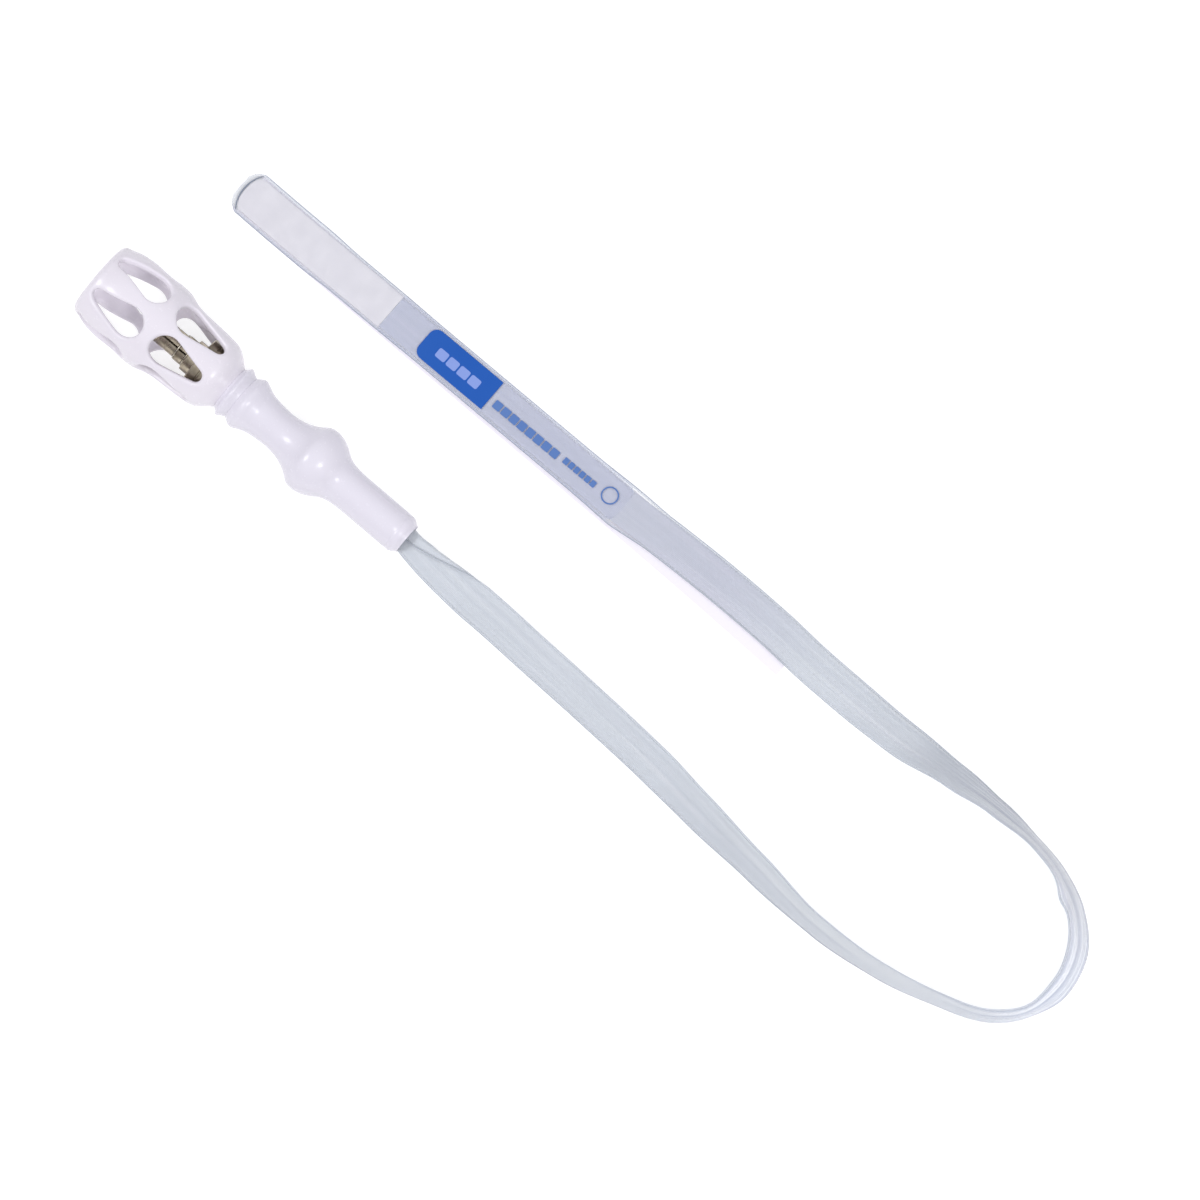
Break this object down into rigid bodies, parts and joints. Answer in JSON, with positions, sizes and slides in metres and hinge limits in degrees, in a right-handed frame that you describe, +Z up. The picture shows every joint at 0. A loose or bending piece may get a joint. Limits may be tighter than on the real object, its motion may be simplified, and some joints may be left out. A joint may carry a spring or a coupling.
{
  "type": "surgical light mat",
  "caption": "Flexible fibre-optic light mat: slotted heat-shield connector with a turning metal socket, flat fibre ribbon in clear film, and a thin light-emitting panel on a release liner.",
  "frame": {"origin": "on the table under the middle of the connector", "axes": "+X from the cage's mouth to the tail of the grip, +Y towards the mat, +Z up from the table"},
  "size_m": [0.3865, 0.0776, 0.0314],
  "materials": {
    "cage_plastic": "satin, softly rounded",
    "collet_metal": "turned, warm nickel",
    "spring_wire": "drawn wire",
    "hub_metal": "turned, warm nickel",
    "clip_steel": "spring steel",
    "collar_plastic": "satin",
    "grip_plastic": "satin",
    "ferrule_metal": "turned",
    "bundle_fibres": "clear fibres, packed",
    "shrink_sleeve": "matt",
    "potting_resin": "cast resin",
    "ribbon_fibres": "clear fibres side by side",
    "clear_film": "clear, slightly hazy",
    "seal_strip": "dull",
    "panel_weave": "woven fibres, diffuse",
    "reflector_film": "white",
    "adhesive": "tacky",
    "liner_film": "silicone coated",
    "label_clear": "clear",
    "print_blue": "printed"
  },
  "bodies": {
    "grip": {"grip_body": "grip_plastic", "collar_ring": "collar_plastic", "bundle_ferrule": "ferrule_metal", "fibre_bundle": "bundle_fibres", "bundle_sleeve": "shrink_sleeve", "exit_plug": "potting_resin", "fibre_ribbon": "ribbon_fibres", "sleeve_film_bottom": "clear_film", "sleeve_film_top": "clear_film", "tip_seal": "seal_strip", "light_panel": "panel_weave", "reflector_backing": "reflector_film", "adhesive_strip": "adhesive", "label_film": "label_clear", "label_print": "print_blue"},
    "socket_head": {"heat_shield_cage": "cage_plastic", "socket_collet": "collet_metal", "collet_springs": "spring_wire", "socket_hub": "hub_metal", "hub_clip": "clip_steel"},
    "liner": {"release_liner": "liner_film"}
  },
  "joints": [
    {"name": "cage_swivel", "type": "hinge", "parent": "grip", "child": "socket_head", "pos_m": [-0.00285, 0, 0.01332], "axis": [0.9986, 0, -0.0531], "continuous": true},
    {"name": "liner_pull", "type": "slide", "parent": "grip", "child": "liner", "axis": [0, -1, 0], "range_m": [0, 0.03]}
  ]
}
